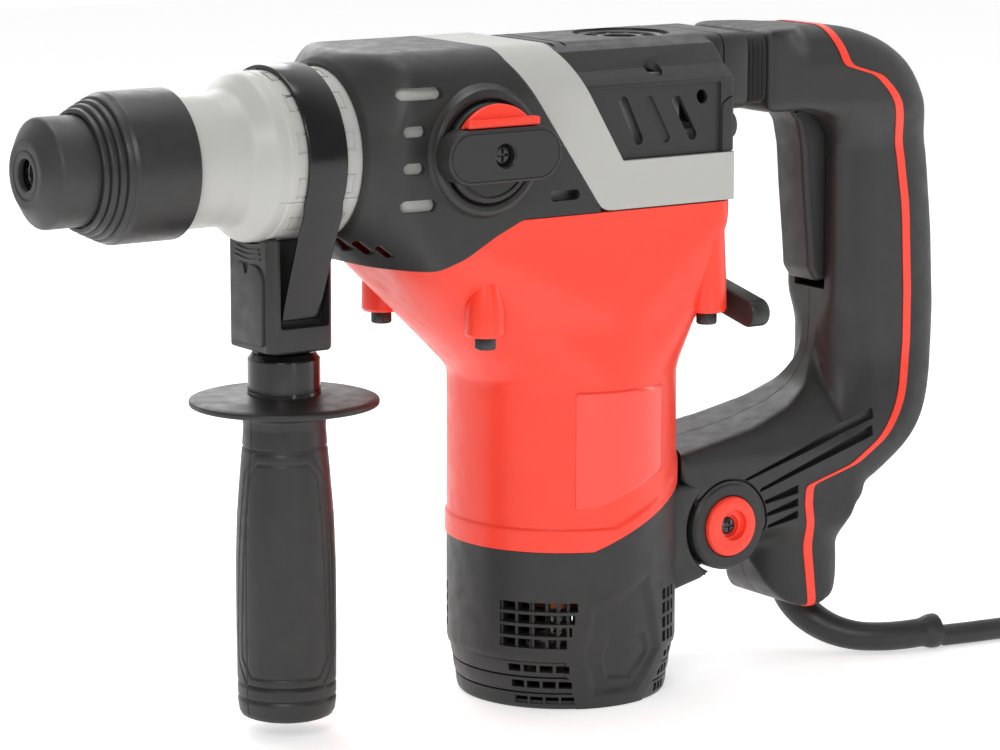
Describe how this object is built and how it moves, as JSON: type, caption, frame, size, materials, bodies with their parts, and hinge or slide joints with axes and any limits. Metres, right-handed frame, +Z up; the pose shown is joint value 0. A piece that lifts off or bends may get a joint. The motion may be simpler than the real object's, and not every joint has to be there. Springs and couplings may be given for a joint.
{
  "type": "rotary hammer",
  "caption": "Corded SDS-plus rotary hammer with vertical motor, crank-driven striking mechanism, sprung D-handle, clamp-on side handle, mode selector and trigger.",
  "frame": {"origin": "On the spindle axis at the front end of the bit bore.", "axes": "X along the spindle from nose to rear handle, Z up, the mode selector is on the -Y side."},
  "size_m": [0.5951, 0.1319, 0.238],
  "materials": {
    "red_plastic": "semi-gloss moulded nylon",
    "black_plastic": "fine spark-eroded grain",
    "soft_grip": "matte overmoulded elastomer",
    "pale_paint": "satin light grey paint",
    "steel": "machined",
    "dark_steel": "black oxide",
    "aluminium_cast": "as cast",
    "copper": "enamelled copper wire",
    "brass": "drawn",
    "carbon": "pressed carbon",
    "cord_rubber": "matte rubber sheath",
    "cap_rubber": "matte nitrile rubber"
  },
  "bodies": {
    "housing": {"motor_housing": "red_plastic", "motor_end_cap": "black_plastic", "end_cap_screws": "steel", "gear_cover": "black_plastic", "trim_band": "pale_paint", "rear_cover": "black_plastic", "rear_cover_screws": "steel", "gearbox_frame": "aluminium_cast", "front_collar": "pale_paint", "housing_screws": "dark_steel", "stator_core": "steel", "field_coils": "copper", "brush_holders": "brass", "carbon_brushes": "carbon", "upper_bearing": "steel", "lower_bearing": "steel", "gear_bearings": "steel", "front_spindle_bearing": "steel", "rear_spindle_bearing": "steel", "spindle_seal": "cap_rubber", "cord_lead": "cord_rubber", "cord_coil": "cord_rubber", "cord_tail": "cord_rubber", "plug": "cord_rubber"},
    "armature": {"armature_shaft": "steel", "armature_core": "steel", "commutator": "copper", "cooling_fan": "black_plastic"},
    "crank": {"crank_gear": "steel", "crank_shaft": "steel"},
    "counter": {"countershaft": "steel", "bevel_pinion": "steel"},
    "spindle": {"spindle": "steel", "bevel_gear": "steel", "dust_cap": "cap_rubber", "locking_balls": "steel"},
    "sleeve": {"locking_sleeve": "dark_steel", "sleeve_spring": "steel"},
    "piston": {"piston": "steel"},
    "rod": {"connecting_rod": "aluminium_cast"},
    "striker": {"striker": "steel"},
    "bolt": {"impact_bolt": "steel"},
    "selector": {"selector_knob": "black_plastic", "selector_screw": "dark_steel"},
    "lock": {"selector_lock": "red_plastic"},
    "lever": {"rear_lever": "black_plastic"},
    "handle": {"handle_shell_left": "black_plastic", "handle_shell_right": "black_plastic", "handle_overmould": "soft_grip", "handle_inlay": "red_plastic", "pivot_caps": "red_plastic", "pivot_bolt": "steel", "handle_bellows": "cap_rubber", "isolation_spring": "steel", "switch_module": "black_plastic", "cable_boot": "cord_rubber"},
    "trigger": {"trigger": "black_plastic"},
    "clamp": {"clamp_block": "black_plastic", "clamp_strap": "dark_steel"},
    "grip": {"side_grip": "black_plastic"}
  },
  "joints": [
    {"name": "armature_spin", "type": "hinge", "parent": "housing", "child": "armature", "pos_m": [0.2105, 0, -0.12], "axis": [0, 0, 1], "continuous": true},
    {"name": "crank_spin", "type": "hinge", "parent": "housing", "child": "crank", "pos_m": [0.2325, 0, -0.041], "axis": [0, 0, 1], "continuous": true},
    {"name": "counter_spin", "type": "hinge", "parent": "housing", "child": "counter", "pos_m": [0.1905, 0, -0.041], "axis": [0, 0, 1], "continuous": true},
    {"name": "spindle_spin", "type": "hinge", "parent": "housing", "child": "spindle", "pos_m": [0.1, 0, 0], "axis": [1, 0, 0], "continuous": true},
    {"name": "sleeve_slide", "type": "slide", "parent": "spindle", "child": "sleeve", "axis": [1, 0, 0], "range_m": [0, 0.006], "stiffness_N_per_m": 1200, "springref_m": -0.006, "deforming": ["sleeve_spring"]},
    {"name": "piston_slide", "type": "slide", "parent": "housing", "child": "piston", "axis": [1, 0, 0], "range_m": [-0.0114, 0.0085]},
    {"name": "rod_swing", "type": "hinge", "parent": "piston", "child": "rod", "pos_m": [0.19896, 0, 0], "axis": [0, 0, 1], "range_deg": [-33.2, 0]},
    {"name": "striker_slide", "type": "slide", "parent": "spindle", "child": "striker", "axis": [1, 0, 0], "range_m": [-0.0275, 0.012]},
    {"name": "bolt_slide", "type": "slide", "parent": "spindle", "child": "bolt", "axis": [1, 0, 0], "range_m": [-0.0015, 0.004]},
    {"name": "selector_turn", "type": "hinge", "parent": "housing", "child": "selector", "pos_m": [0.1505, -0.044, 0.001], "axis": [0, -1, 0], "range_deg": [-90, 90]},
    {"name": "lock_press", "type": "slide", "parent": "selector", "child": "lock", "axis": [0, 1, 0], "range_m": [0, 0.0015], "stiffness_N_per_m": 900, "springref_m": -0.001},
    {"name": "lever_turn", "type": "hinge", "parent": "housing", "child": "lever", "pos_m": [0.258, -0.012, -0.058], "axis": [1, 0, 0], "range_deg": [0, 90]},
    {"name": "handle_pivot", "type": "hinge", "parent": "housing", "child": "handle", "pos_m": [0.269, 0, -0.147], "axis": [0, -1, 0], "range_deg": [0, 1.9], "stiffness_Nm_per_rad": 500, "springref_deg": -0.57, "deforming": ["handle_bellows", "isolation_spring"]},
    {"name": "trigger_pull", "type": "hinge", "parent": "handle", "child": "trigger", "pos_m": [0.326, 0, -0.014], "axis": [0, -1, 0], "range_deg": [0, 6], "stiffness_Nm_per_rad": 2, "springref_deg": -11.46},
    {"name": "side_handle_swing", "type": "hinge", "parent": "housing", "child": "clamp", "pos_m": [0.094, 0, 0], "axis": [1, 0, 0], "continuous": true},
    {"name": "grip_screw", "type": "hinge", "parent": "clamp", "child": "grip", "pos_m": [0.094, 0, -0.1], "axis": [0, 0, 1], "continuous": true}
  ],
  "couplings": [
    {"joint": "crank_spin", "follows": "armature_spin", "ratio": -0.22222},
    {"joint": "counter_spin", "follows": "armature_spin", "ratio": -0.25},
    {"joint": "spindle_spin", "follows": "armature_spin", "ratio": 0.083333}
  ]
}
